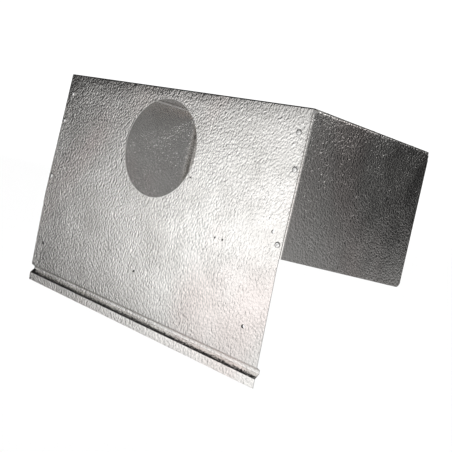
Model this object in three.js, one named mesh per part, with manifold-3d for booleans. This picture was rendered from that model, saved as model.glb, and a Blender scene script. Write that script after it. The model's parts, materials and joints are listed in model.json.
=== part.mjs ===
// Grow lamp hood of embossed sheet metal, with its lampholder and lamp.
// Millimetres. +Z is up and z = 0 is the top face. The duct hole faces -Y, and the rear is open.
import * as THREE from 'three';
import { mergeVertices } from 'three/addons/utils/BufferGeometryUtils.js';
import Module from 'manifold-3d';

const wasm = await Module();
wasm.setup();

// ---- driving dimensions -------------------------------------------------------------------
const WIDTH = 510;                 // over the outer faces of the end panels
const DEPTH = 340;                 // front face to rear edge
const SHEET = 1;                   // sheet thickness
const GAP = 0.3;                   // clearance that touching pieces keep
const BEND_RADIUS = 1.7;           // bends of the sheet, at mid thickness
const TIGHT_RADIUS = 1.2;          // bends of the pressed groove

const EDGE_INSET = 2.2;            // the hood sheet ends this far inside the end panels' faces
const UPPER_HEIGHT = 210;          // top face to the fold across the front
const SKIRT_HEIGHT = 125.5;        // fold to the groove
const SKIRT_LEAN = THREE.MathUtils.degToRad(3);   // the skirt leans in below the fold
const GROOVE = { depth: 7, slopeIn: 4.5, flat: 4.5, slopeOut: 6 };   // heights of its three faces
const LIP_HEIGHT = 12;
const REAR_HEM = 12;               // turned-down rear edge of the top

const END_FRONT_HEIGHT = 195;      // end panel's height at the front
const END_REAR_HEIGHT = 222;       // and at the rear
const END_CORNER_RADIUS = 15;
const FLANGE = 24;                 // front and top flanges of an end panel
const REAR_RETURN = 13;            // end panel's turned-in rear edge
const FLANGE_RELIEF = 6;           // notch where two flanges meet

const DUCT_RADIUS = 75;
const DUCT_X = -3;
const DUCT_Z = -91.5;
const DUCT_SCREW_CIRCLE = 82.5;    // radius of the screw holes' circle
const DUCT_SCREW_ANGLE = THREE.MathUtils.degToRad(22.5);
const PILOT_HOLE = 1.5;            // radii of the small empty holes
const SKIRT_HOLE = 2;
const SCREW_HOLE = 2.6;
const COLLAR = { wall: 0.7, length: 2.6 };         // drawn collar behind a small hole

const PILOT_PAIR = { x: [142.5, 156], z: -194 };   // two small holes above the fold
const SPARE_HOLE = { x: 234.5, z: -164 };          // goes through the right flange too
const SKIRT_HOLES = [
  { radius: SKIRT_HOLE, x: 0, belowFold: 70 },
  { radius: SCREW_HOLE, x: 218.5, belowFold: 83 },
  { radius: SCREW_HOLE, x: -232, belowFold: 84 },
];

const RIVET = { shank: 2, hole: 2.3, head: 4, rise: 1.5, tail: 3, tailLength: 4 };
const FRONT_RIVETS = [             // distance in from the end face, and height
  { name: 'upper', inset: 15.5, z: -33.5 },
  { name: 'middle', inset: 9, z: -81 },
  { name: 'lower', inset: 9, z: -178.5 },
];
const TOP_RIVETS = [               // distance back from the front face
  { name: 'front', y: 45 },
  { name: 'centre', y: 170 },
  { name: 'rear', y: 295 },
];
const TOP_RIVET_INSET = 12;

const LAMP_Z = -90;                // the lamp lies along X at this height
const BRACKET_X = 225;             // face that the lampholder is screwed to
const BRACKET = { thickness: 2, width: 64, foot: 46, drop: 130, radius: 4, screwX: 24, screwY: 20 };
const HOLDER = { back: 26, body: 31, bore: 22.2, length: 74, base: 24, screwSpread: 17, screwDepth: 11 };
const SCREW = { shank: 2, hole: 2.3, head: 4.2, headHeight: 2.6, nut: 4, nutHeight: 3.2 };
const THREAD = { pitch: 6.35, wave: 0.7, cap: 19, shell: 20.75, wall: 0.6 };
const CAP = { eyelet: 26.4, length: 45, recess: 17.6 };
const BULB = { neck: 17.2, body: 23.5, wall: 1.2, length: 211 };
const ARC_TUBE = { radius: 4, start: 86, end: 158, lead: 1.2 };
const GROMMET = { x: 120, y: 60, hole: 7, flange: 9.5, bore: 4, rise: 2 };
const HANG_HOLES = { x: 190, y: 110, radius: 3.2 };

const ROUND = 16;                  // sides of small round pieces
const ROUND_WIDE = 32;             // sides of the lamp and its holder
const ROUND_DUCT = 72;             // sides of the duct hole
const X_AXIS = new THREE.Vector3(1, 0, 0);
const Y_AXIS = new THREE.Vector3(0, 1, 0);
const Z_AXIS = new THREE.Vector3(0, 0, 1);

// ---- materials ----------------------------------------------------------------------------
const metal = (color, roughness) => new THREE.MeshStandardMaterial({ color, roughness, metalness: 1 });
const material = {
  sheet: () => metal(0xb4b3b0, 0.38),
  rivet: () => metal(0xa9a9a8, 0.3),
  bracket: () => metal(0x9a9c9c, 0.42),
  screw: () => metal(0xb7b1a0, 0.35),
  shell: () => metal(0xc2a266, 0.32),
  cap: () => metal(0xc8c4b8, 0.3),
  ceramic: () => new THREE.MeshStandardMaterial({ color: 0xe8e4da, roughness: 0.28 }),
  blackGlass: () => new THREE.MeshStandardMaterial({ color: 0x1c1a18, roughness: 0.2 }),
  rubber: () => new THREE.MeshStandardMaterial({ color: 0x222222, roughness: 0.75 }),
  alumina: () => new THREE.MeshStandardMaterial({ color: 0xf0ece0, roughness: 0.5 }),
  glass: () => new THREE.MeshStandardMaterial({
    color: 0xf4f7f7, roughness: 0.05, transparent: true, opacity: 0.3,
  }),
};

// ---- solids: manifold-3d joins and cuts, three.js makes every shape ------------------------
function toManifold(geometry) {
  const plain = geometry.clone();
  plain.deleteAttribute('normal');
  plain.deleteAttribute('uv');
  const merged = mergeVertices(plain, 1e-4);
  return new wasm.Manifold(new wasm.Mesh({
    numProp: 3,
    vertProperties: new Float32Array(merged.attributes.position.array),
    triVerts: new Uint32Array(merged.index.array),
  }));
}

function toGeometry(solid) {
  const mesh = solid.getMesh();
  const geometry = new THREE.BufferGeometry();
  geometry.setAttribute('position', new THREE.BufferAttribute(mesh.vertProperties, 3));
  geometry.setIndex(new THREE.BufferAttribute(mesh.triVerts, 1));
  geometry.computeVertexNormals();
  return geometry;
}

function drill(axis, radius, length, x, y, z, sides = ROUND) {
  const cutter = new THREE.CylinderGeometry(radius, radius, length, sides);
  cutter.applyQuaternion(new THREE.Quaternion().setFromUnitVectors(Y_AXIS, axis));
  return toManifold(cutter.translate(x, y, z));
}

function cutAll(solid, cutters) {
  return cutters.reduce((rest, cutter) => rest.subtract(cutter), solid);
}

function part(name, geometry, finish) {
  const mesh = new THREE.Mesh(geometry, finish());
  mesh.name = name;
  return mesh;
}

// ---- bent sheet: a line at mid thickness, its corners rounded, then given its thickness -----
function roundedLine(corners, steps = 5) {
  const path = new THREE.Path();
  path.moveTo(corners[0].at.x, corners[0].at.y);
  corners.slice(1, -1).forEach((corner, i) => {
    const toPrevious = corners[i].at.clone().sub(corner.at).normalize();
    const toNext = corners[i + 2].at.clone().sub(corner.at).normalize();
    const turn = Math.PI - toPrevious.angleTo(toNext);
    const reach = corner.radius * Math.tan(turn / 2);
    const start = corner.at.clone().addScaledVector(toPrevious, reach);
    const end = corner.at.clone().addScaledVector(toNext, reach);
    path.lineTo(start.x, start.y);
    path.quadraticCurveTo(corner.at.x, corner.at.y, end.x, end.y);
  });
  const last = corners.at(-1).at;
  path.lineTo(last.x, last.y);
  return path.getPoints(steps);
}

function sheetShape(corners, thickness) {
  const line = roundedLine(corners);
  const offsets = line.map((point, i) => {
    const before = i > 0 ? point.clone().sub(line[i - 1]).normalize() : null;
    const after = i < line.length - 1 ? line[i + 1].clone().sub(point).normalize() : null;
    const along = (before ?? after).clone().add(after ?? before).normalize();
    const mitre = along.dot(before ?? after);
    return new THREE.Vector2(-along.y, along.x).multiplyScalar(thickness / 2 / mitre);
  });
  const left = line.map((point, i) => point.clone().add(offsets[i]));
  const right = line.map((point, i) => point.clone().sub(offsets[i]));
  return new THREE.Shape([...left, ...right.reverse()]);
}

// Extrudes a shape drawn in (across, up) so that it runs along the third axis from a start.
function prism(shape, across, up, start, length) {
  const along = across.clone().cross(up);
  const geometry = new THREE.ExtrudeGeometry(shape, { depth: length, bevelEnabled: false });
  geometry.applyMatrix4(new THREE.Matrix4().makeBasis(across, up, along));
  const shift = along.multiplyScalar(start);
  return toManifold(geometry.translate(shift.x, shift.y, shift.z));
}

const corner = (x, y, radius = 0) => ({ at: new THREE.Vector2(x, y), radius });
const FRONT = -DEPTH / 2;
const REAR = DEPTH / 2;
const END_FACE = WIDTH / 2;

// ---- hood sheet: top, front, fold, skirt, pressed groove and lip in one piece ---------------
function hoodProfile() {
  const down = new THREE.Vector2(Math.sin(SKIRT_LEAN), -Math.cos(SKIRT_LEAN));
  const inward = new THREE.Vector2(Math.cos(SKIRT_LEAN), Math.sin(SKIRT_LEAN));
  const mid = SHEET / 2;
  const fold = new THREE.Vector2(FRONT + mid, -UPPER_HEIGHT);
  const below = (distance, depth = 0) =>
    fold.clone().addScaledVector(down, distance).addScaledVector(inward, depth);
  const flatStart = SKIRT_HEIGHT + GROOVE.slopeIn;
  const flatEnd = flatStart + GROOVE.flat;
  const grooveEnd = flatEnd + GROOVE.slopeOut;
  return sheetShape([
    corner(REAR - mid, -REAR_HEM),
    corner(REAR - mid, -mid, BEND_RADIUS),
    corner(FRONT + mid, -mid, BEND_RADIUS),
    { at: fold, radius: BEND_RADIUS },
    { at: below(SKIRT_HEIGHT), radius: TIGHT_RADIUS },
    { at: below(flatStart, GROOVE.depth), radius: TIGHT_RADIUS },
    { at: below(flatEnd, GROOVE.depth), radius: TIGHT_RADIUS },
    { at: below(grooveEnd), radius: TIGHT_RADIUS },
    { at: below(grooveEnd + LIP_HEIGHT) },
  ], SHEET);
}

// The small empty holes of the front, each with a collar drawn inwards for a screw to bite in.
function smallHoles() {
  const screwX = DUCT_SCREW_CIRCLE * Math.cos(DUCT_SCREW_ANGLE);
  const screwZ = DUCT_Z - DUCT_SCREW_CIRCLE * Math.sin(DUCT_SCREW_ANGLE);
  const pilot = (x, z) => ({ radius: PILOT_HOLE, x, y: FRONT, z });
  return [
    pilot(DUCT_X - screwX, screwZ),
    pilot(DUCT_X + screwX, screwZ),
    ...PILOT_PAIR.x.map((x) => pilot(x, PILOT_PAIR.z)),
    ...SKIRT_HOLES.map(({ radius, x, belowFold }) => ({
      radius,
      x,
      y: FRONT + belowFold * Math.sin(SKIRT_LEAN),
      z: -UPPER_HEIGHT - belowFold * Math.cos(SKIRT_LEAN),
    })),
  ];
}

// Its front end is buried in the middle of the sheet.
function collar({ radius, x, y, z }) {
  const length = COLLAR.length + SHEET / 2;
  return drill(Y_AXIS, radius + COLLAR.wall, length, x, y + (SHEET + length) / 2, z);
}

function frontHoles() {
  return [
    drill(Y_AXIS, DUCT_RADIUS, 10, DUCT_X, FRONT, DUCT_Z, ROUND_DUCT),
    ...smallHoles().map(({ radius, x, y, z }) => drill(Y_AXIS, radius, 12, x, y, z)),
  ];
}

const spareHole = () => drill(Y_AXIS, SCREW_HOLE, 12, SPARE_HOLE.x, FRONT, SPARE_HOLE.z);

function rivetHoles(side) {
  const front = FRONT_RIVETS.map(({ inset, z }) =>
    drill(Y_AXIS, RIVET.hole, 12, side * (END_FACE - inset), FRONT, z));
  const top = TOP_RIVETS.map(({ y }) =>
    drill(Z_AXIS, RIVET.hole, 12, side * (END_FACE - TOP_RIVET_INSET), FRONT + y, 0));
  return [...front, ...top];
}

function topHoles() {
  const hang = [-1, 1].flatMap((sx) => [-1, 1].map((sy) =>
    drill(Z_AXIS, HANG_HOLES.radius, 10, sx * HANG_HOLES.x, sy * HANG_HOLES.y, 0)));
  return [...hang, drill(Z_AXIS, GROMMET.hole, 10, GROMMET.x, GROMMET.y, 0), ...bracketScrewHoles()];
}

function hoodSheet() {
  const half = END_FACE - EDGE_INSET;
  const bent = prism(hoodProfile(), Y_AXIS, Z_AXIS, -half, 2 * half);
  const blank = smallHoles().map(collar).reduce((rest, piece) => rest.add(piece), bent);
  const cutters = [...frontHoles(), spareHole(), ...rivetHoles(-1), ...rivetHoles(1), ...topHoles()];
  return part('hood_sheet', toGeometry(cutAll(blank, cutters)), material.sheet);
}

// ---- end panels: web with a front flange, a top flange and a turned-in rear edge ------------
const LAP = SHEET + GAP;           // from the hood's outer face to a flange behind it

function endChannel(side) {
  const mid = SHEET / 2;
  const face = side * (END_FACE - mid);
  const front = FRONT + LAP + mid;
  const flangeTip = side * (END_FACE - FLANGE);
  const returnTip = side * (END_FACE - REAR_RETURN);
  const shape = sheetShape([
    corner(flangeTip, front),
    corner(face, front, BEND_RADIUS),
    corner(face, REAR - mid, BEND_RADIUS),
    corner(returnTip, REAR - mid),
  ], SHEET);
  return prism(shape, X_AXIS, Y_AXIS, -END_REAR_HEIGHT, END_REAR_HEIGHT - LAP);
}

function endTopFlange(side) {
  const mid = SHEET / 2;
  const top = -LAP - mid;
  const shape = sheetShape([
    corner(side * (END_FACE - FLANGE), top),
    corner(side * (END_FACE - mid), top, BEND_RADIUS),
    corner(side * (END_FACE - mid), top - 3 * BEND_RADIUS),
  ], SHEET);
  const start = FRONT + LAP + FLANGE_RELIEF;
  return prism(shape, X_AXIS, Z_AXIS, -(REAR - FLANGE_RELIEF), REAR - FLANGE_RELIEF - start);
}

// The side view of the web: front to rear, its lower edge sloping down, its rear corner rounded.
function endOutline() {
  const slope = new THREE.Vector2(DEPTH, END_FRONT_HEIGHT - END_REAR_HEIGHT).normalize();
  const shape = new THREE.Shape();
  shape.moveTo(FRONT, 1);
  shape.lineTo(FRONT, -END_FRONT_HEIGHT);
  const start = new THREE.Vector2(REAR, -END_REAR_HEIGHT).addScaledVector(slope, -END_CORNER_RADIUS);
  shape.lineTo(start.x, start.y);
  shape.quadraticCurveTo(REAR, -END_REAR_HEIGHT, REAR, END_CORNER_RADIUS - END_REAR_HEIGHT);
  shape.lineTo(REAR, 1);
  return shape;
}

function endPanel(side, name) {
  const outline = prism(endOutline(), Y_AXIS, Z_AXIS, -WIDTH, 2 * WIDTH);
  const notch = (y, z, depth, height) =>
    toManifold(new THREE.BoxGeometry(2 * WIDTH, depth, height).translate(0, y, z));
  const relieved = cutAll(endChannel(side), [
    notch(FRONT, 0, 2 * (LAP + SHEET + BEND_RADIUS), 2 * FLANGE_RELIEF + 2 * LAP),
    notch(REAR, 0, 2 * (SHEET + BEND_RADIUS), 2 * REAR_HEM + 2 * LAP),
    topWebTrim(side),
  ]);
  const bent = relieved.add(endTopFlange(side)).intersect(outline);
  const holes = [...rivetHoles(side), spareHole()];
  return part(name, toGeometry(cutAll(bent, holes)), material.sheet);
}

// Takes the web's square top off where the top flange's bend replaces it.
function topWebTrim(side) {
  const height = LAP + SHEET + 2 * BEND_RADIUS;
  const box = new THREE.BoxGeometry(8, 2 * DEPTH, height).translate(side * END_FACE, 0, -height / 2);
  return toManifold(box);
}

// ---- blind rivets: head outside, tail behind two sheets ------------------------------------
function rivetGeometry() {
  const { shank, head, rise, tail, tailLength } = RIVET;
  const grip = 2 * (SHEET + GAP);
  const profile = new THREE.Path();
  profile.moveTo(0, -grip - tailLength);
  profile.lineTo(tail * 0.6, -grip - tailLength);
  profile.quadraticCurveTo(tail, -grip - tailLength / 2, tail, -grip - GAP / 2);
  profile.lineTo(shank, -grip - GAP / 2);
  profile.lineTo(shank, GAP);
  profile.lineTo(head, GAP);
  profile.quadraticCurveTo(head * 0.86, GAP + rise, shank / 2, GAP + rise);
  profile.lineTo(shank / 2, GAP + rise - 0.5);
  profile.lineTo(0, GAP + rise - 0.4);
  return new THREE.LatheGeometry(profile.getPoints(4), ROUND);
}

function rivets(side, sideName) {
  const group = new THREE.Group();
  const add = (name, x, y, z, axis) => {
    const rivet = part(name, rivetGeometry(), material.rivet);
    rivet.position.set(x, y, z);
    rivet.quaternion.setFromUnitVectors(Y_AXIS, axis);
    group.add(rivet);
  };
  const outward = Y_AXIS.clone().negate();
  FRONT_RIVETS.forEach(({ name, inset, z }) =>
    add(`${sideName}_front_rivet_${name}`, side * (END_FACE - inset), FRONT, z, outward));
  TOP_RIVETS.forEach(({ name, y }) =>
    add(`${sideName}_top_rivet_${name}`, side * (END_FACE - TOP_RIVET_INSET), FRONT + y, 0, Z_AXIS));
  return group;
}

// ---- lampholder bracket under the top, and its fasteners ------------------------------------
const FOOT_FACE = -SHEET - GAP;
const bracketScrewX = BRACKET_X - BRACKET.screwX;

function bracketScrewHoles() {
  return [-1, 1].map((sy) => drill(Z_AXIS, SCREW.hole, 14, bracketScrewX, sy * BRACKET.screwY, 0));
}

function bracket() {
  const mid = BRACKET.thickness / 2;
  const shape = sheetShape([
    corner(BRACKET_X - BRACKET.foot, FOOT_FACE - mid),
    corner(BRACKET_X + mid, FOOT_FACE - mid, BRACKET.radius),
    corner(BRACKET_X + mid, -BRACKET.drop),
  ], BRACKET.thickness);
  const plate = prism(shape, X_AXIS, Z_AXIS, -BRACKET.width / 2, BRACKET.width);
  const wireHole = drill(X_AXIS, 8, 20, BRACKET_X, 0, LAMP_Z);
  const holderHoles = [-1, 1].map((sz) =>
    drill(X_AXIS, SCREW.hole, 20, BRACKET_X, 0, LAMP_Z + sz * HOLDER.screwSpread));
  const cutters = [wireHole, ...holderHoles, ...bracketScrewHoles()];
  return part('holder_bracket', toGeometry(cutAll(plate, cutters)), material.bracket);
}

// A pan-head screw with a cross slot. Its head sits on y = 0 and its shank runs down -Y.
function screwGeometry(length) {
  const { shank, head, headHeight } = SCREW;
  const profile = new THREE.Path();
  profile.moveTo(0, -length);
  profile.lineTo(shank * 0.7, -length);
  profile.lineTo(shank, 0.6 - length);
  profile.lineTo(shank, GAP);
  profile.lineTo(head, GAP);
  profile.lineTo(head, GAP + headHeight * 0.45);
  profile.quadraticCurveTo(head * 0.9, GAP + headHeight, 0, GAP + headHeight);
  const blank = toManifold(new THREE.LatheGeometry(profile.getPoints(4), ROUND));
  const slot = (turn) => toManifold(
    new THREE.BoxGeometry(head, 1.4, 0.9).rotateY(turn).translate(0, GAP + headHeight, 0));
  return toGeometry(cutAll(blank, [slot(0), slot(Math.PI / 2)]));
}

function nutGeometry() {
  const { hole, nut, nutHeight } = SCREW;
  const shape = new THREE.Shape();
  shape.moveTo(nut, 0);
  for (let i = 1; i < 6; i += 1) {
    const angle = (i * Math.PI) / 3;
    shape.lineTo(nut * Math.cos(angle), nut * Math.sin(angle));
  }
  shape.holes.push(new THREE.Path().absarc(0, 0, hole, 0, 2 * Math.PI, true));
  return new THREE.ExtrudeGeometry(shape, { depth: nutHeight, bevelEnabled: false, curveSegments: 12 });
}

function bracketFasteners() {
  const group = new THREE.Group();
  const underFoot = FOOT_FACE - BRACKET.thickness - GAP;
  [-1, 1].forEach((sy, i) => {
    const screw = part(`bracket_screw_${i + 1}`, screwGeometry(10), material.screw);
    screw.position.set(bracketScrewX, sy * BRACKET.screwY, 0);
    screw.quaternion.setFromUnitVectors(Y_AXIS, Z_AXIS);
    const nut = part(`bracket_nut_${i + 1}`, nutGeometry(), material.screw);
    nut.position.set(bracketScrewX, sy * BRACKET.screwY, underFoot - SCREW.nutHeight);
    group.add(screw, nut);
  });
  return group;
}

// ---- lampholder and lamp: turned about one axis, y = 0 at the bracket's face -----------------
function lathe(points, sides = ROUND_WIDE) {
  return new THREE.LatheGeometry(points.map(([radius, y]) => new THREE.Vector2(radius, y)), sides);
}

// Thread crests as rings: the radius waves about a mean, once for each pitch.
function threadWave(mean, start, end) {
  const stepsPerPitch = 4;
  const count = Math.round(((end - start) / THREAD.pitch) * stepsPerPitch);
  return Array.from({ length: count + 1 }, (_, i) => {
    const y = start + ((end - start) * i) / count;
    return [mean + THREAD.wave * Math.cos((2 * Math.PI * (y - start)) / THREAD.pitch), y];
  });
}

function holderBody() {
  const { back, body, bore, length, base, screwSpread, screwDepth } = HOLDER;
  const blank = toManifold(lathe([
    [0, GAP], [back - 1, GAP], [back, GAP + 1], [back, 19], [body - 1, 23], [body, 24.5],
    [body, length - 6], [body - 1.5, length - 4], [body - 1.5, length - 1], [body - 2.5, length],
    [bore + 1, length], [bore, length - 1], [bore, base], [0, base],
  ]));
  const screwHoles = [-1, 1].map((sz) =>
    drill(Y_AXIS, SCREW.hole, 2 * screwDepth, 0, 0, sz * screwSpread));
  return part('holder_body', toGeometry(cutAll(blank, screwHoles)), material.ceramic);
}

function threadShell() {
  const start = HOLDER.base + 3.5;
  const end = HOLDER.length - 5;
  const inner = threadWave(THREAD.shell - THREAD.wall / 2, start, end);
  const outer = threadWave(THREAD.shell + THREAD.wall / 2, start, end);
  return part('holder_thread_shell', lathe([...outer, ...inner.reverse(), outer[0]]), material.shell);
}

function centreContact() {
  const { base } = HOLDER;
  const points = [[0, base + GAP], [7, base + GAP], [7, base + 1.1], [4, base + 2], [0, base + 2]];
  return part('holder_centre_contact', lathe(points, ROUND), material.shell);
}

function holderScrews() {
  return [-1, 1].map((sz, i) => {
    const screw = part(`holder_screw_${i + 1}`, screwGeometry(10), material.screw);
    screw.rotation.x = Math.PI;
    screw.position.set(0, -BRACKET.thickness, sz * HOLDER.screwSpread);
    return screw;
  });
}

function lampCap() {
  const start = CAP.eyelet + 9;
  const end = CAP.eyelet + CAP.length;
  const threadEnd = end - 12;
  const points = [
    [0, start], [THREAD.cap - 4, start], ...threadWave(THREAD.cap, start + 1.5, threadEnd),
    [THREAD.cap - 0.6, end - 1], [THREAD.cap - 0.8, end], [CAP.recess, end],
    [CAP.recess, end - 17], [0, end - 17],
  ];
  return part('lamp_cap', lathe(points), material.cap);
}

function capInsulator() {
  const start = CAP.eyelet + 3.1;
  const end = CAP.eyelet + 9 - GAP;
  const points = [[0, start], [6, start], [THREAD.cap - 5, end], [0, end]];
  return part('cap_insulator', lathe(points, ROUND_WIDE), material.blackGlass);
}

function capEyelet() {
  const start = CAP.eyelet;
  const points = [[0, start], [3.5, start], [5, start + 1], [5, start + 2.8], [0, start + 2.8]];
  return part('cap_eyelet', lathe(points, ROUND), material.shell);
}

function bulbLine(neck, body, neckStart, tip) {
  const path = new THREE.Path();
  const shoulder = CAP.eyelet + 74;
  path.moveTo(neck, neckStart);
  path.lineTo(neck, CAP.eyelet + CAP.length + 4);
  path.bezierCurveTo(neck, shoulder - 14, body, shoulder - 14, body, shoulder);
  path.lineTo(body, tip - body);
  path.absarc(0, tip - body, body, 0, Math.PI / 2, false);
  return path.getPoints(6);
}

function bulbEnvelope() {
  const neckStart = CAP.eyelet + CAP.length - 16;
  const tip = CAP.eyelet + BULB.length;
  const outer = bulbLine(BULB.neck, BULB.body, neckStart, tip);
  const inner = bulbLine(BULB.neck - BULB.wall, BULB.body - BULB.wall, neckStart, tip - BULB.wall);
  const profile = [...inner.reverse(), ...outer];
  profile[0].x = 0;
  profile.at(-1).x = 0;
  return part('bulb_envelope', new THREE.LatheGeometry(profile, ROUND_WIDE), material.glass);
}

const STEM_TOP = CAP.eyelet + 66;

function bulbStem() {
  const foot = CAP.eyelet + CAP.length - 15;
  const rim = BULB.neck - BULB.wall - GAP;
  const points = [[0, foot], [rim, foot], [rim, foot + 4], [6, foot + 14], [4, STEM_TOP - 6],
    [4, STEM_TOP], [0, STEM_TOP]];
  return part('bulb_stem', lathe(points, ROUND), material.glass);
}

function arcTube() {
  const { radius, start, end, lead } = ARC_TUBE;
  const first = CAP.eyelet + start;
  const last = CAP.eyelet + end;
  const points = [[0, first - 9], [lead, first - 9], [lead, first], [radius - 0.5, first],
    [radius, first + 0.5], [radius, last - 0.5], [radius - 0.5, last], [lead, last],
    [lead, last + 9], [0, last + 9]];
  return part('arc_tube', lathe(points, ROUND), material.alumina);
}

// The wire that holds the arc tube: up from the stem beside it, and across above its far lead.
function arcFrame() {
  const offset = 12;
  const top = CAP.eyelet + ARC_TUBE.end + 9 + GAP + 1;
  const route = new THREE.CurvePath();
  const points = [[2.2, STEM_TOP + GAP], [2.2, STEM_TOP + 3], [offset, STEM_TOP + 9],
    [offset, top - 2], [offset - 2, top], [-1.5, top]];
  points.slice(1).forEach(([x, y], i) => {
    const [fromX, fromY] = points[i];
    route.add(new THREE.LineCurve3(new THREE.Vector3(fromX, fromY, 0), new THREE.Vector3(x, y, 0)));
  });
  const section = new THREE.Shape(new THREE.Path().absarc(0, 0, 0.9, 0, 2 * Math.PI).getPoints(8));
  const geometry = new THREE.ExtrudeGeometry(section, { steps: 26, extrudePath: route });
  return part('arc_frame', geometry, material.bracket);
}

function lampAxis() {
  const group = new THREE.Group();
  group.position.set(BRACKET_X, 0, LAMP_Z);
  group.rotation.z = Math.PI / 2;
  group.add(holderBody(), threadShell(), centreContact(), ...holderScrews());
  group.add(lampCap(), capInsulator(), capEyelet());
  group.add(bulbEnvelope(), bulbStem(), arcTube(), arcFrame());
  return group;
}

// ---- grommet where the supply wires enter through the top ------------------------------------
function cableGrommet() {
  const { hole, flange, bore, rise } = GROMMET;
  const neck = hole - GAP;
  const points = [
    [bore, rise], [bore, -SHEET - rise], [flange - 1, -SHEET - rise], [flange, -SHEET - rise + 0.8],
    [flange, -SHEET - GAP], [neck, -SHEET - GAP], [neck, GAP], [flange, GAP], [flange, rise - 0.8],
    [flange - 1, rise], [bore, rise],
  ];
  const grommet = part('cable_grommet', lathe(points, ROUND), material.rubber);
  grommet.position.set(GROMMET.x, GROMMET.y, 0);
  grommet.rotation.x = Math.PI / 2;
  return grommet;
}

// ---- the assembly ----------------------------------------------------------------------------
const growLamp = new THREE.Group();
growLamp.add(hoodSheet(), endPanel(-1, 'left_end_panel'), endPanel(1, 'right_end_panel'));
growLamp.add(rivets(-1, 'left'), rivets(1, 'right'));
growLamp.add(bracket(), bracketFasteners(), lampAxis(), cableGrommet());

export default growLamp;
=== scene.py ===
import json
import math

import bmesh
import bpy
from mathutils import Matrix, Vector

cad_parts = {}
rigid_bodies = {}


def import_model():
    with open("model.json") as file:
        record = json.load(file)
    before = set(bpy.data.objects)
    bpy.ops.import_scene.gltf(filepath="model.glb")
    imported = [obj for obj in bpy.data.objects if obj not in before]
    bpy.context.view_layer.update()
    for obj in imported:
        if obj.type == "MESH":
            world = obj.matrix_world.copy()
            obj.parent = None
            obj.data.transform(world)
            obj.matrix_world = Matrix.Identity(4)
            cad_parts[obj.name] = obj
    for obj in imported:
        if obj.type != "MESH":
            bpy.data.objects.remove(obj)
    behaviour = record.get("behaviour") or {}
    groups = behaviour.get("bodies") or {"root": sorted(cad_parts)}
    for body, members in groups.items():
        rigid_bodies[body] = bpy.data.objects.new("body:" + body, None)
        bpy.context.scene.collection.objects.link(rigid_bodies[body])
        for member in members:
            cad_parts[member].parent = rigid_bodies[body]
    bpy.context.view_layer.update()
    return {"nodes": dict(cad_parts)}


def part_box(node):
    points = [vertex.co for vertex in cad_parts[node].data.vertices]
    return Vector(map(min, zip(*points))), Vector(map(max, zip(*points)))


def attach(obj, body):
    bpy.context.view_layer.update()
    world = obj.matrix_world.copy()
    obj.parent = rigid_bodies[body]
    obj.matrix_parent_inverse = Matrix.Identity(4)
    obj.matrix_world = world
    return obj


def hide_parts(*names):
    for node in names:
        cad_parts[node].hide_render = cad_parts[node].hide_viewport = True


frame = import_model()
MM = 0.001
BODY = "root"
FULL_TURN = 2 * math.pi

# ---- places, from the frame and the sheets' own dimensions ------------------------------------
HOOD_LOW, HOOD_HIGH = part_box("hood_sheet")
FRONT, REAR = HOOD_LOW.y, HOOD_HIGH.y
WIDTH = 2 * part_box("right_end_panel")[1].x

UPPER_HEIGHT = 210 * MM
SKIRT_HEIGHT = 125.5 * MM
SKIRT_LEAN = math.radians(3)
GROOVE_DEPTH = 7 * MM
GROOVE_FACES = (4.5 * MM, 4.5 * MM, 6 * MM)    # heights of its slope in, its flat and its slope out
LIP_HEIGHT = 12 * MM
REAR_HEM = 12 * MM
DUCT_CENTRE = (-3 * MM, -91.5 * MM)            # x and z
DUCT_RADIUS = 75 * MM
FLOOR_DROP = 0.8                               # from the hood's lowest edge to the floor


def middle(node):
    low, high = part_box(node)
    return (low + high) / 2


# The lamp lies along X. Distances on it run from its eyelet towards -X.
EYELET_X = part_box("cap_eyelet")[1].x
LAMP_CENTRE = Vector((EYELET_X, middle("holder_body").y, middle("lamp_cap").z))
LAMP_AXIS = Vector((-1, 0, 0))


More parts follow.
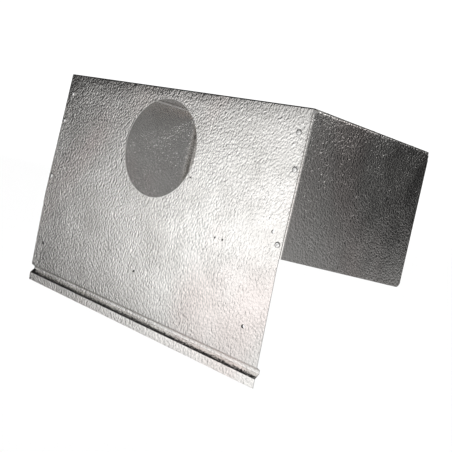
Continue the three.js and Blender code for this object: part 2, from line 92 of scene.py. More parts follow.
# ---- node trees ------------------------------------------------------------------------------
class Tree:
    """Adds nodes to a material and links them by name."""

    def __init__(self, name):
        self.material = bpy.data.materials.new(name)
        self.material.use_nodes = True
        self.nodes = self.material.node_tree.nodes
        self.links = self.material.node_tree.links
        self.shader = self.nodes["Principled BSDF"]

    def node(self, kind, settings=None, **inputs):
        made = self.nodes.new(kind)
        for key, value in (settings or {}).items():
            setattr(made, key, value)
        for key, value in inputs.items():
            self.feed(made.inputs[key.replace("_", " ")], value)
        return made

    def feed(self, socket, value):
        if isinstance(value, bpy.types.NodeSocket):
            self.links.new(value, socket)
        else:
            socket.default_value = value

    def place(self, output="Object"):
        return self.node("ShaderNodeTexCoord").outputs[output]

    def noise(self, vector, scale, detail=2.0, roughness=0.5, distortion=0.0):
        made = self.node("ShaderNodeTexNoise", Vector=vector, Scale=scale, Detail=detail,
                         Roughness=roughness, Distortion=distortion)
        return made.outputs["Fac"]

    def math(self, operation, a, b=0.0, c=0.0):
        made = self.node("ShaderNodeMath", {"operation": operation})
        for socket, value in zip(made.inputs, (a, b, c)):
            self.feed(socket, value)
        return made.outputs[0]

    def spread(self, value, low, high, to_low=0.0, to_high=1.0):
        """Eases from one number to another while the value goes from low to high."""
        made = self.node("ShaderNodeMapRange", {"interpolation_type": "SMOOTHSTEP"})
        for socket, number in zip(made.inputs, (value, low, high, to_low, to_high)):
            self.feed(socket, number)
        return made.outputs[0]

    def mix(self, factor, a, b):
        made = self.node("ShaderNodeMix", {"data_type": "RGBA"})
        self.feed(made.inputs[0], factor)
        self.feed(made.inputs[6], a)
        self.feed(made.inputs[7], b)
        return made.outputs[2]

    def placed(self, vector, angle=0.0, scale=(1, 1, 1)):
        """Coordinates turned, then stretched: a scale of 2 makes the pattern twice as long."""
        made = self.node("ShaderNodeMapping", {"vector_type": "TEXTURE"}, Vector=vector,
                         Rotation=(0, 0, angle), Scale=scale)
        return made.outputs[0]

    def cells(self, vector, scale):
        return self.node("ShaderNodeTexVoronoi", Vector=vector, Scale=scale)

    def warped(self, vector, scale, reach, settings=None, **inputs):
        """Coordinates pushed about by noise, by up to the reach."""
        noise = self.node("ShaderNodeTexNoise", settings, Vector=vector, Scale=scale, **inputs)
        shift = self.node("ShaderNodeVectorMath", {"operation": "MULTIPLY_ADD"})
        for socket, value in zip(shift.inputs, (noise.outputs["Color"], reach, vector)):
            self.feed(socket, value)
        return shift.outputs[0]

    def bump(self, height, distance, strength=1.0, normal=None):
        made = self.node("ShaderNodeBump", Height=height, Distance=distance, Strength=strength)
        if normal is not None:
            self.feed(made.inputs["Normal"], normal)
        return made.outputs[0]

    def finish(self, **inputs):
        for key, value in inputs.items():
            self.feed(self.shader.inputs[key.replace("_", " ")], value)
        return self.material


# ---- embossed sheet ----------------------------------------------------------------------------
EMBOSS_PITCH = 3.3 * MM            # across the wrinkles
EMBOSS_STRETCH = 1.35              # along them
EMBOSS_DEPTH = 0.19 * MM
EMBOSS_WANDER = (0.003, 0.003, 0)  # how far noise pushes the pattern about
CREASE_HEIGHT = 2.2                # of the creases against the islands
BUCKLE_DEPTH = 0.5 * MM            # slow waves that handling leaves in the sheet
FLAT = {"noise_dimensions": "2D"}  # settings of a noise over flat coordinates


def embossed_relief(t, uv, lean):
    """The normal of rounded islands with sharp creases between them, on a slightly buckled sheet."""
    wandering = t.warped(uv, 150.0, EMBOSS_WANDER, FLAT, Detail=2.0)
    grain = t.placed(wandering, lean, (1, EMBOSS_STRETCH, 1))
    islands = t.node("ShaderNodeTexVoronoi", {"voronoi_dimensions": "2D", "feature": "SMOOTH_F1"},
                     Vector=grain, Scale=1 / EMBOSS_PITCH, Smoothness=0.35, Randomness=1.0)
    creases = t.node("ShaderNodeTexNoise", FLAT, Vector=grain, Scale=0.9 / EMBOSS_PITCH, Detail=2.0,
                     Roughness=0.55, Distortion=0.4)
    ridge = t.math("ABSOLUTE", t.math("SUBTRACT", creases.outputs["Fac"], 0.5))
    height = t.math("SUBTRACT", t.math("MULTIPLY", ridge, CREASE_HEIGHT), islands.outputs["Distance"])
    depth = t.spread(t.noise(uv, 22.0), 0.3, 0.7, 0.75, 1.15)
    buckled = t.bump(t.noise(uv, 7.0, 1.0), BUCKLE_DEPTH, 0.6)
    return t.bump(t.math("MULTIPLY", height, depth), EMBOSS_DEPTH, 1.0, buckled)


def embossed_metal(name, lean):
    """Rolled sheet with a stucco emboss, smudges in its gloss and warmer stains."""
    t = Tree(name)
    uv = t.place("UV")
    normal = embossed_relief(t, uv, lean)
    smudge = t.noise(uv, 14.0, 5.0, 0.62, 0.4)
    stain = t.noise(t.placed(uv, 0.4, (1, 1.7, 1)), 5.0, 3.0)
    rough = t.spread(smudge, 0.3, 0.75, 0.12, 0.2)
    clean = t.mix(t.spread(smudge, 0.35, 0.7), (0.8, 0.785, 0.765, 1), (0.73, 0.715, 0.69, 1))
    color = t.mix(t.spread(stain, 0.48, 0.68, 0.0, 0.55), clean, (0.78, 0.69, 0.665, 1))
    return t.finish(Base_Color=color, Metallic=1.0, Roughness=rough, Normal=normal)


# ---- finishes of the smaller pieces --------------------------------------------------------------
def turned_metal(name, color, worn, rough):
    """Metal with fine lines, scuffs and a duller film in patches."""
    t = Tree(name)
    place = t.place()
    lines = t.noise(place, 900.0, 3.0, 0.6)
    film = t.noise(place, 160.0, 4.0, 0.6, 0.3)
    pits = t.noise(place, 1400.0, 2.0)
    shade = t.mix(t.spread(film, 0.42, 0.68, 0.0, 0.5), color, worn)
    roughness = t.spread(t.math("ADD", film, lines), 0.7, 1.3, rough * 0.7, rough * 1.5)
    height = t.math("ADD", t.math("MULTIPLY", lines, 0.6), t.math("MULTIPLY", pits, 0.4))
    normal = t.bump(height, 0.03 * MM, 0.5)
    return t.finish(Base_Color=shade, Metallic=1.0, Roughness=roughness, Normal=normal)


def drawn_edge_painted_shade(name):
    """Sheet sheared and drawn by a punch, torn in fine lines, and painted dark grey as the shade inside
    the small holes, mottled by noise.
    """
    t = Tree(name)
    place = t.place()
    tears = t.noise(t.placed(place, 0, (1, 6, 1)), 1500.0, 3.0, 0.7)
    painted_shade_mottle = t.noise(place, 700.0, 4.0)
    # Both greys are painted shade: they stand in for the shade that falls inside the small holes.
    color = t.mix(t.spread(painted_shade_mottle, 0.35, 0.7), (0.05, 0.048, 0.045, 1), (0.14, 0.135, 0.13, 1))
    return t.finish(Base_Color=color, Metallic=0.6, Roughness=t.spread(tears, 0.3, 0.7, 0.5, 0.8),
                    Normal=t.bump(tears, 0.04 * MM, 0.8))


def sawn_edge(name):
    """The bright edge that a saw leaves on sheet, dulled by burrs."""
    t = Tree(name)
    place = t.place()
    burrs = t.noise(place, 2200.0, 3.0, 0.7)
    color = t.mix(t.spread(burrs, 0.35, 0.7), (0.86, 0.85, 0.83, 1), (0.68, 0.67, 0.65, 1))
    return t.finish(Base_Color=color, Metallic=0.5, Roughness=t.spread(burrs, 0.3, 0.7, 0.45, 0.7),
                    Normal=t.bump(burrs, 0.05 * MM, 0.8))


def spangled_zinc(name):
    """Hot-dip zinc: flat crystals of slightly different grey, each with its own gloss."""
    t = Tree(name)
    place = t.place()
    crystal = t.cells(t.warped(place, 220.0, (0.006, 0.006, 0.006)), 150.0)
    tone = t.math("ABSOLUTE", crystal.outputs["Color"])
    color = t.mix(t.spread(tone, 0.1, 0.9), (0.6, 0.62, 0.63, 1), (0.42, 0.44, 0.46, 1))
    dust = t.noise(place, 60.0, 5.0, 0.65)
    faded = t.mix(t.spread(dust, 0.5, 0.8, 0.0, 0.4), color, (0.5, 0.49, 0.46, 1))
    rough = t.math("ADD", t.spread(tone, 0.0, 1.0, 0.26, 0.42), t.spread(dust, 0.4, 0.8, 0.0, 0.12))
    normal = t.bump(t.noise(place, 1800.0, 3.0), 0.02 * MM, 0.6)
    return t.finish(Base_Color=faded, Metallic=1.0, Roughness=rough, Normal=normal)


def glazed_porcelain(name):
    t = Tree(name)
    place = t.place()
    ripple = t.noise(place, 70.0, 2.0)
    specks = t.cells(place, 420.0).outputs["Distance"]
    speck = t.spread(specks, 0.05, 0.11, 1.0, 0.0)
    sparse = t.math("MULTIPLY", speck, t.spread(t.noise(place, 90.0), 0.55, 0.65))
    glaze = t.mix(t.spread(ripple, 0.35, 0.7), (0.86, 0.84, 0.78, 1), (0.8, 0.77, 0.69, 1))
    color = t.mix(t.math("MULTIPLY", sparse, 0.6), glaze, (0.35, 0.27, 0.18, 1))
    rough = t.spread(t.noise(place, 240.0, 4.0), 0.4, 0.75, 0.12, 0.3)
    normal = t.bump(t.noise(place, 380.0, 2.0), 0.05 * MM, 0.5)
    return t.finish(Base_Color=color, Roughness=rough, Normal=normal, Coat_Weight=0.6,
                    Coat_Roughness=0.06)


def dark_vitrite(name):
    t = Tree(name)
    place = t.place()
    color = t.mix(t.spread(t.noise(place, 300.0, 4.0), 0.4, 0.7), (0.012, 0.01, 0.01, 1),
                  (0.05, 0.04, 0.035, 1))
    rough = t.spread(t.noise(place, 700.0, 3.0), 0.35, 0.7, 0.08, 0.25)
    return t.finish(Base_Color=color, Roughness=rough,
                    Normal=t.bump(t.noise(place, 500.0), 0.06 * MM, 0.5))


def moulded_rubber(name):
    t = Tree(name)
    place = t.place()
    bloom = t.noise(place, 260.0, 5.0, 0.65)
    color = t.mix(t.spread(bloom, 0.5, 0.8), (0.018, 0.018, 0.019, 1), (0.07, 0.068, 0.064, 1))
    rough = t.spread(bloom, 0.35, 0.75, 0.55, 0.85)
    return t.finish(Base_Color=color, Roughness=rough,
                    Normal=t.bump(t.noise(place, 1500.0, 3.0), 0.05 * MM, 0.7))


def sintered_alumina(name):
    t = Tree(name)
    place = t.place()
    cloud = t.noise(place, 180.0, 4.0)
    color = t.mix(t.spread(cloud, 0.35, 0.7), (0.92, 0.89, 0.81, 1), (0.83, 0.76, 0.62, 1))
    return t.finish(Base_Color=color, Roughness=t.spread(cloud, 0.3, 0.7, 0.35, 0.6),
                    Normal=t.bump(t.noise(place, 1600.0), 0.02 * MM, 0.5),
                    Subsurface_Weight=0.3, Subsurface_Scale=0.004)


def clear_glass(name):
    """Blown glass: faint waves, and a haze of handling marks in the gloss."""
    t = Tree(name)
    place = t.place()
    haze = t.noise(place, 55.0, 5.0, 0.6, 0.5)
    rough = t.spread(haze, 0.45, 0.8, 0.0, 0.12)
    tint = t.mix(t.spread(haze, 0.4, 0.8), (0.97, 0.985, 0.98, 1), (0.93, 0.95, 0.94, 1))
    normal = t.bump(t.noise(place, 45.0, 1.0), 0.25 * MM, 0.4)
    return t.finish(Base_Color=tint, Roughness=rough, Normal=normal, Transmission_Weight=1.0,
                    IOR=1.5)


# ---- sheets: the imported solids, with the sheet's own flat coordinates --------------------------
def hood_line():
    """The hood's section as (y, z) corners, from the rear hem over the top and down the front."""
    down = Vector((math.sin(SKIRT_LEAN), -math.cos(SKIRT_LEAN)))
    inward = Vector((math.cos(SKIRT_LEAN), math.sin(SKIRT_LEAN)))
    fold = Vector((FRONT, -UPPER_HEIGHT))
    slope_in, flat, slope_out = GROOVE_FACES
    steps = ((0, 0), (slope_in, GROOVE_DEPTH), (flat, 0), (slope_out, -GROOVE_DEPTH), (LIP_HEIGHT, 0))
    groove, here = [], fold + down * SKIRT_HEIGHT
    for lower, deeper in steps:
        here = here + down * lower + inward * deeper
        groove.append(here)
    return [Vector((REAR, -REAR_HEM)), Vector((REAR, 0)), Vector((FRONT, 0)), fold, *groove]


HOOD_LINE = hood_line()


def along_line(line, point):
    """How far along the line of corners the nearest place to the point is."""
    best, travelled, answer = math.inf, 0.0, 0.0
    for start, end in zip(line, line[1:]):
        run = end - start
        share = max(0.0, min(1.0, (point - start).dot(run) / run.length_squared))
        distance = (start + run * share - point).length
        if distance < best - 1e-7:
            best, answer = distance, travelled + share * run.length
        travelled += run.length
    return answer


def hood_flat(co, normal):
    """The hood laid flat. Every flat function takes a face's normal, which this one doesn't need."""
    return co.x, along_line(HOOD_LINE, Vector((co.y, co.z)))


END_SHIFT = 0.37                     # puts the end panels on another stretch of the pattern
MOSTLY = 0.7                         # a normal's part above this counts as facing that way


def end_flat(co, normal):
    """An end panel laid flat, with its flanges folded out beside the web."""
    inside = WIDTH / 2 - abs(co.x)
    if abs(normal.z) > MOSTLY and co.z > -10 * MM:
        return co.y + END_SHIFT, co.z + inside
    if abs(normal.y) > MOSTLY:
        return (FRONT - inside if co.y < 0 else REAR + inside) + END_SHIFT, co.z
    return co.y + END_SHIFT, co.z


def box_flat(co, normal):
    """The two coordinates that lie across the normal's main direction."""
    axis = max(range(3), key=lambda i: abs(normal[i]))
    return tuple(co[i] for i in range(3) if i != axis)


# ---- pieces --------------------------------------------------------------------------------------
SHARP = 38                           # degrees: sharper edges of turned pieces stay crisp
SHEET_SHARP = 35                     # and those of sheets
RIM = 0.18 * MM                      # width of a sheet's broken edge
RIM_ANGLE = math.radians(50)
HOLE_FACE = 12 * MM * MM             # faces of small holes and collars are smaller than this
EDGEWAYS = 0.2                       # a normal with less than this along Y faces across the sheet


def soften(work, angle):
    """Smooth shading, with edges sharper than the angle kept crisp."""
    for face in work.faces:
        face.smooth = True
    for edge in work.edges:
        edge.smooth = len(edge.link_faces) == 2 and edge.calc_face_angle(0) < math.radians(angle)


def dress(mesh, node, material, rim=0.0):
    """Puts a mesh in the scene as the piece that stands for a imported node. Its faces keep their
    material numbers."""
    made = bpy.data.objects.new(node + "_skin", mesh)
    bpy.context.scene.collection.objects.link(made)
    indices = [polygon.material_index for polygon in mesh.polygons]
    mesh.materials.clear()
    mesh.materials.append(material)
    mesh.polygons.foreach_set("material_index", indices)
    if rim:
        bevel = made.modifiers.new("broken_edge", "BEVEL")
        bevel.width = rim
        bevel.segments = 2
        bevel.limit_method = "ANGLE"
        bevel.angle_limit = RIM_ANGLE
        bevel.harden_normals = True
    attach(made, BODY)
    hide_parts(node)


def in_small_hole(face):
    """True on the wall or the drawn collar of a small hole in the front, between its top bend and
    the groove."""
    place = face.calc_center_median()
    near_front = place.y < FRONT + 20 * MM and HOOD_LOW.z + 34 * MM < place.z < -12 * MM
    small = face.calc_area() < HOLE_FACE
    return near_front and small and abs(face.normal.y) < EDGEWAYS and not in_duct_rim(face)


def in_duct_rim(face):
    """True on the cut edge of the duct opening."""
    place = face.calc_center_median()
    out = math.hypot(place.x - DUCT_CENTRE[0], place.z - DUCT_CENTRE[1])
    on_circle = abs(out - DUCT_RADIUS) < 1 * MM
    return abs(face.normal.y) < EDGEWAYS and on_circle and place.y < FRONT + 5 * MM


def skin(node, flat, material, rim=RIM, cut=()):
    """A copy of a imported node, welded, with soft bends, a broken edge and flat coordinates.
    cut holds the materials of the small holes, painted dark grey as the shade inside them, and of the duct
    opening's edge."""
    mesh = frame["nodes"][node].data.copy()
    work = bmesh.new()
    work.from_mesh(mesh)
    bmesh.ops.remove_doubles(work, verts=work.verts, dist=1e-6)
    bmesh.ops.dissolve_limit(work, angle_limit=0.001, verts=work.verts, edges=work.edges)
    soften(work, SHEET_SHARP)
    layer = work.loops.layers.uv.verify()
    for face in work.faces:
        if cut:
            # Walls and collars of small holes take the first cut material, which is painted shade; the
            # duct opening's edge takes the second.
            face.material_index = 2 if in_duct_rim(face) else int(in_small_hole(face))
        for loop in face.loops:
            loop[layer].uv = flat(loop.vert.co, face.normal)
    work.to_mesh(mesh)
    work.free()
    dress(mesh, node, material, rim)
    for edge_material in cut:
        mesh.materials.append(edge_material)


def side_axes(axis):
    """Two directions across an axis, at right angles to each other."""
    first = axis.orthogonal().normalized()
    return first, axis.cross(first)


def turned(name, line, origin, axis, sides=64, swell=None, ring=False, angle=SHARP):
    """A mesh of revolution through (radius, distance along the axis) points.
    swell(radius, distance, turn) adds to the radius, and a ring closes on itself."""
    axis = Vector(axis).normalized()
    across, over = side_axes(axis)
    work = bmesh.new()
    loops = []
    for radius, along in line:
        centre = Vector(origin) + axis * along
        if radius < 1e-7:
            loops.append([work.verts.new(centre)])
            continue
        loop = []
        for i in range(sides):
            turn = FULL_TURN * i / sides
            reach = radius + (swell(radius, along, turn) if swell else 0.0)
            outward = across * math.cos(turn) + over * math.sin(turn)
            loop.append(work.verts.new(centre + outward * reach))
        loops.append(loop)
    pairs = list(zip(loops, loops[1:])) + ([(loops[-1], loops[0])] if ring else [])
    for first, second in pairs:
        for i in range(sides):
            j = (i + 1) % sides
            corners = [first[i % len(first)], first[j % len(first)],
                       second[j % len(second)], second[i % len(second)]]
            work.faces.new(list(dict.fromkeys(corners)))
    bmesh.ops.recalc_face_normals(work, faces=work.faces)
    soften(work, angle)
    mesh = bpy.data.meshes.new(name)
    work.to_mesh(mesh)
    work.free()
    return mesh


def block(size, centre, turn):
    """A plain cutter for a boolean, turned and then moved to its centre."""
    work = bmesh.new()
    bmesh.ops.create_cube(work, size=1, matrix=Matrix.Diagonal((*size, 1)))
    work.transform(turn)
    work.transform(Matrix.Translation(centre))
    mesh = bpy.data.meshes.new("cutter")
    work.to_mesh(mesh)
    work.free()
    return mesh


def carved(mesh, cutters):
    """The mesh with the cutters taken away."""
    scene = bpy.context.scene.collection.objects
    body = bpy.data.objects.new("blank", mesh)
    scene.link(body)
    tools = []
    for cutter in cutters:
        tool = bpy.data.objects.new("tool", cutter)
        scene.link(tool)
        tools.append(tool)
        cut = body.modifiers.new("cut", "BOOLEAN")
        cut.operation = "DIFFERENCE"
        cut.solver = "EXACT"
        cut.object = tool
    bpy.context.view_layer.update()
    graph = bpy.context.evaluated_depsgraph_get()
    result = bpy.data.meshes.new_from_object(body.evaluated_get(graph))
    for extra in [body, *tools]:
        bpy.data.objects.remove(extra)
    work = bmesh.new()
    work.from_mesh(result)
    bmesh.ops.remove_doubles(work, verts=work.verts, dist=1e-7)
    soften(work, SHARP)
    work.to_mesh(result)
    work.free()
    return result


def arc(centre_radius, centre_along, radius, start, end, steps=10):
    """Points round a part of a circle in the (radius, distance) plane, from start to end degrees."""
    angles = [math.radians(start + (end - start) * i / steps) for i in range(steps + 1)]
    return [(centre_radius + radius * math.cos(angle), centre_along + radius * math.sin(angle))
            for angle in angles]


def bezier(a, b, c, d):
    """Points along a cubic curve in the (radius, distance) plane."""
    steps = 14

    def at(t):
        s = 1 - t
        weights = (s * s * s, 3 * s * s * t, 3 * s * t * t, t * t * t)
        return tuple(sum(w * p[k] for w, p in zip(weights, (a, b, c, d))) for k in range(2))
    return [at(i / steps) for i in range(steps + 1)]


def in_metres(points):
    return [(radius * MM, along * MM) for radius, along in points]


# ---- rivets, screws and nuts, in millimetres until in_metres -------------------------------------
RIVET_HEAD, RIVET_RISE, RIVET_SHANK = 4.0, 1.5, 2.0
SEAT = 0.3                           # a head stands this far off its sheet
GRIP = 2.6                           # two sheets and the gaps between them


def rivet_line():
    """A pulled blind rivet: a low dome with the broken mandrel in its middle, and a bulbed tail."""
    tail = [(0, -GRIP - 4), (1.5, -GRIP - 4), *bezier((1.8, -GRIP - 4), (2.7, -GRIP - 3),
            (3.0, -GRIP - 1.2), (2.8, -GRIP - 0.3)), (RIVET_SHANK, -GRIP - 0.15)]
    rim = [(RIVET_SHANK, SEAT), (RIVET_HEAD - 0.15, SEAT), (RIVET_HEAD, SEAT + 0.15),
           (RIVET_HEAD - 0.05, SEAT + 0.35)]
    top = SEAT + RIVET_RISE
    dome = bezier((RIVET_HEAD - 0.12, SEAT + 0.5), (3.6, top - 0.25), (2.6, top), (1.35, top))
    mandrel = [(1.2, top - 0.1), (1.12, top - 0.55), (1.0, top - 0.6), (0.95, top - 0.3),
               (0.8, top - 0.22), (0.35, top - 0.3), (0, top - 0.26)]
    return in_metres(tail + rim + dome + mandrel)


def rivets(material):
    line = rivet_line()
    for node in frame["nodes"]:
        if "rivet" not in node:
            continue
        centre = middle(node)
        on_front = "front_rivet" in node
        axis = Vector((0, -1, 0)) if on_front else Vector((0, 0, 1))
        origin = Vector((centre.x, FRONT, centre.z)) if on_front else Vector((centre.x, centre.y, 0))
        dress(turned(node, line, origin, axis, sides=40, angle=50), node, material)


SCREW_HEAD, SCREW_RISE, SCREW_SHANK = 4.2, 2.6, 2.0


def screw_mesh(name, seat, axis, length):
    """A pan-head screw with a cross recess and a threaded shank. The seat is on the clamped face."""
    pitch, groove, blunt = 0.7, 0.16, 0.7

    def thread(radius, along, turn):
        if along > -0.5 * MM or along < (1.0 - length) * MM or abs(radius - SCREW_SHANK * MM) > 1e-6:
            return 0.0
        return -groove * MM * (1 + math.cos(FULL_TURN * along / (pitch * MM) - turn))
    steps = int(5 * length / pitch)
    shank = [(SCREW_SHANK, blunt - length + (length - blunt) * i / steps) for i in range(steps + 1)]
    top = SEAT + SCREW_RISE
    head = [(SCREW_HEAD - 0.15, SEAT), (SCREW_HEAD, SEAT + 0.15), (SCREW_HEAD, SEAT + 1.0)]
    dome = bezier((SCREW_HEAD - 0.05, SEAT + 1.2), (3.7, top - 0.25), (2.4, top), (0.6, top))
    line = in_metres([(0, -length), (1.4, -length), *shank, (SCREW_SHANK, SEAT), *head, *dome, (0, top)])
    blank = turned(name, line, seat, axis, sides=36, swell=thread)
    align = Vector((0, 0, 1)).rotation_difference(Vector(axis)).to_matrix().to_4x4()
    centre = Vector(seat) + Vector(axis) * top * MM
    slots = [block((4.4 * MM, 1.0 * MM, 2.6 * MM), centre, align @ Matrix.Rotation(a, 4, "Z"))
             for a in (0.4, 0.4 + math.pi / 2)]
    return carved(blank, slots)


def screws(material):
    for side in (1, 2):
        node = f"bracket_screw_{side}"
        length = -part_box(node)[0].z / MM
        seat = Vector((middle(node).x, middle(node).y, 0))
        dress(screw_mesh(node, seat, (0, 0, 1), length), node, material)
        node = f"holder_screw_{side}"
        low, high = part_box(node)
        seat = Vector((high.x - (SEAT + SCREW_RISE) * MM, middle(node).y, middle(node).z))
        length = (seat.x - low.x) / MM
        dress(screw_mesh(node, seat, (1, 0, 0), length), node, material)


def nuts(material):
    """Hexagons with both faces chamfered, as a cone cuts them."""
    across_corners, bore, chamfer = 4.0, 2.3, 0.35
    for side in (1, 2):
        node = f"bracket_nut_{side}"
        low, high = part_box(node)
        height = (high.z - low.z) / MM

        def hexagon(radius, along, turn):
            if radius < 3 * MM:
                return 0.0
            flat = across_corners * MM * math.cos(math.pi / 6)
            edge = flat / math.cos((turn % (math.pi / 3)) - math.pi / 6)
            return min(edge, radius) - radius
        outer = [(bore, 0), (3.45, 0), (3.7, 0.06), (across_corners, chamfer),
                 (across_corners, height - chamfer), (3.7, height - 0.06), (3.45, height),
                 (bore, height)]
        origin = Vector((middle(node).x, middle(node).y, low.z))
        mesh = turned(node, in_metres(outer), origin, (0, 0, 1), 72, hexagon, ring=True, angle=25)
        dress(mesh, node, material)


# ---- lampholder and lamp, in millimetres from the eyelet ---------------------------------------
THREAD_PITCH, THREAD_WAVE = 6.35, 0.7


def helix(mean, first, last):
    """A rolled round thread that fades in and out at its ends."""
    def swell(radius, along, turn):
        distance = along / MM
        if distance < first or distance > last or abs(radius / MM - mean) > 0.45:
            return 0.0
        fade = min(1.0, (distance - first) / 3, (last - distance) / 3)
        return THREAD_WAVE * MM * fade * math.cos(FULL_TURN * distance / THREAD_PITCH + turn)
    return swell


def stretch(radius, start, end, step=0.4):
    count = max(2, round(abs(end - start) / step))
    return [(radius, start + (end - start) * i / count) for i in range(count + 1)]


def extent(node):
    """A lamp node's (start, end) from the eyelet towards the tip, in millimetres."""
    low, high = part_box(node)
    return (EYELET_X - high.x) / MM, (EYELET_X - low.x) / MM


def lamp_piece(node, points, material, sides=72, swell=None, ring=False, angle=SHARP):
    mesh = turned(node, in_metres(points), LAMP_CENTRE, LAMP_AXIS, sides, swell, ring, angle)
    dress(mesh, node, material)


def holder_body(material):
    start, end = extent("holder_body")
    back, body, bore = 26, 31, 22.2
    base = start - SEAT + 24
    outer = [(0, start), *arc(back - 1.2, start + 1.2, 1.2, -90, 0), (back, start + 15),
             *bezier((back, start + 17), (back, start + 20), (body, start + 19.5), (body, start + 24))]
    ribs = [point for i in range(3) for point in
            ((body, start + 30 + 5 * i), (body - 0.7, start + 31 + 5 * i),
             (body - 0.7, start + 32.5 + 5 * i), (body, start + 33.5 + 5 * i))]
    rim = [(body, end - 8), *arc(body - 2, end - 6, 2, 0, 55), (body - 1.6, end - 3.5),
           *arc(body - 4.1, end - 2.5, 2.5, 0, 90), *arc(bore + 2, end - 2, 2, 90, 180)]
    inside = [(bore, base + 1), *arc(bore - 1, base + 1, 1, 0, -90, 6), (0, base)]
    blank = turned("holder_body", in_metres(outer + ribs + rim + inside), LAMP_CENTRE, LAMP_AXIS, 96)
    tools = []
    for side in (1, 2):
        centre = middle(f"holder_screw_{side}")
        origin = Vector((EYELET_X - (start - 4) * MM, centre.y, centre.z))
        line = in_metres([(0, 0), (2.3, 0), (2.3, 15), (0, 15)])
        tools.append(turned("tool", line, origin, LAMP_AXIS, 32))
    dress(carved(blank, tools), "holder_body", material)


def thread_shell(material):
    start, end = extent("holder_thread_shell")
    outer, inner = 21.05, 20.45
    swell = helix((outer + inner) / 2, start + 1, end - 1)
    points = stretch(outer, start, end) + stretch(inner, end, start)
    lamp_piece("holder_thread_shell", points, material, 96, swell, ring=True)


def contact(material):
    start, end = extent("holder_centre_contact")
    points = [(0, start), (6.9, start), (7, start + 0.15), (7, start + 0.7), (6.6, start + 0.8),
              *bezier((5.4, start + 0.9), (4.4, start + 1.0), (3.8, end - 0.05), (2.6, end)),
              (0, end)]
    lamp_piece("holder_centre_contact", points, material, 48)


def lamp_cap(material):
    start, end = extent("lamp_cap")
    cap, recess = 19, 17.6
    swell = helix(cap, start + 1.5, end - 11)
    points = [(0, start), (cap - 3.6, start), *arc(cap - 1.6, start + 1.6, 1.6, -60, 0, 6),
              *stretch(cap, start + 2, end - 11), (cap - 0.4, end - 10.2),
              (cap - 0.75, end - 9), (cap - 0.75, end - 5.6), (cap - 0.45, end - 5), (cap - 0.45, end - 4),
              (cap - 0.75, end - 3.4), (cap - 0.75, end - 0.4), (cap - 0.95, end), (recess + 0.1, end),
              (recess, end - 0.2), (recess, end - 17), (0, end - 17)]
    lamp_piece("lamp_cap", points, material, 96, swell, angle=45)


def cap_end(insulator, brass):
    start, end = extent("cap_insulator")
    cone = [(0, start), (5.4, start), *arc(5.3, start + 0.5, 0.5, -80, -20, 4),
            *bezier((6.4, start + 0.9), (9, start + 1.5), (12.5, end - 2.6), (14, end - 0.3)), (14, end),
            (0, end)]
    lamp_piece("cap_insulator", cone, insulator, 72)
    start, end = extent("cap_eyelet")
    solder = bezier((0, start), (1.8, start), (2.6, start + 0.35), (3.2, start + 0.75))
    eyelet = [*solder, (3.7, start + 0.6), *arc(4.3, start + 1.2, 0.7, -80, 0, 5), (5, end - 0.2),
              (4.8, end), (0, end)]
    lamp_piece("cap_eyelet", eyelet, brass, 48)


def bulb_wall(neck, body, neck_start, neck_end, shoulder, tip):
    """One face of the glass, from the open neck to just before the tip."""
    return [*stretch(neck, neck_start, neck_end, 4),
            *bezier((neck, neck_end), (neck, shoulder - 14), (body, shoulder - 14), (body, shoulder)),
            *stretch(body, shoulder, tip - body, 8), *arc(0, tip - body, body, 0, 90, 20)[:-1]]


def bulb(glass):
    start, tip = extent("bulb_envelope")
    wall = 1.2
    outer = bulb_wall(17.2, 23.5, start, 49, 74, tip)
    inner = bulb_wall(17.2 - wall, 23.5 - wall, start, 49, 74, tip - wall)
    points = [(0, tip - wall), *inner[::-1], *outer, (0, tip)]
    lamp_piece("bulb_envelope", points, glass, 96)
    start, end = extent("bulb_stem")
    stem = [(0, start), (15.4, start), (15.65, start + 0.4), (15.6, start + 4),
            *bezier((15.2, start + 5), (13, start + 9), (7, start + 10), (5.4, start + 16)),
            (4, end - 5), *arc(3, end - 1, 1, 0, 90, 6), (0, end)]

    def pinch(radius, along, turn):
        share = max(0.0, min(1.0, (along / MM - start - 12) / 6))
        return -0.5 * radius * share * math.sin(turn) ** 2
    lamp_piece("bulb_stem", stem, glass, 64, pinch)


def arc_tube(material):
    start, end = extent("arc_tube")
    lead, radius, cap = 1.2, 4.0, 9
    first, last = start + cap, end - cap
    points = [(0, start), (lead, start), (lead, first - 0.4),
              *arc(lead + 0.4, first - 0.4, 0.4, 180, 90, 4),
              (2.2, first), *arc(radius - 0.7, first + 0.7, 0.7, -90, 0, 5),
              *arc(radius - 0.7, last - 0.7, 0.7, 0, 90, 5), (2.2, last), (lead, last + 0.5),
              (lead, end), (0, end)]
    lamp_piece("arc_tube", points, material, 40)


def arc_frame(material):
    """Round wire bent beside the arc tube, from the stem to the tube's far lead."""
    low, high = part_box("arc_frame")
    start = extent("arc_frame")[0]
    radius, offset = 0.9, 12
    stem_end = extent("bulb_stem")[1]
    top = extent("arc_tube")[1] + SEAT + 1
    corners = [(2.2, start), (2.2, start + 4), (offset, stem_end + 10), (offset, top - 3),
               (offset - 3, top), (-1.4, top)]
    side = 1 if abs(high.y) > abs(low.y) else -1
    centres = [Vector((EYELET_X - along * MM, side * off * MM, LAMP_CENTRE.z))
               for off, along in corners]
    curve = bpy.data.curves.new("arc_frame", "CURVE")
    curve.dimensions = "3D"
    curve.bevel_depth = radius * MM
    curve.bevel_resolution = 5
    curve.use_fill_caps = True
    curve.resolution_u = 10
    spline = curve.splines.new("BEZIER")
    points = rounded(centres, 2.2 * MM)
    spline.bezier_points.add(len(points) - 1)
    for knot, (place, left, right) in zip(spline.bezier_points, points):
        knot.co, knot.handle_left, knot.handle_right = place, left, right
    made = bpy.data.objects.new("wire", curve)
    bpy.context.scene.collection.objects.link(made)
    bpy.context.view_layer.update()
    graph = bpy.context.evaluated_depsgraph_get()
    mesh = bpy.data.meshes.new_from_object(made.evaluated_get(graph))
    bpy.data.objects.remove(made)
    dress(mesh, "arc_frame", material)


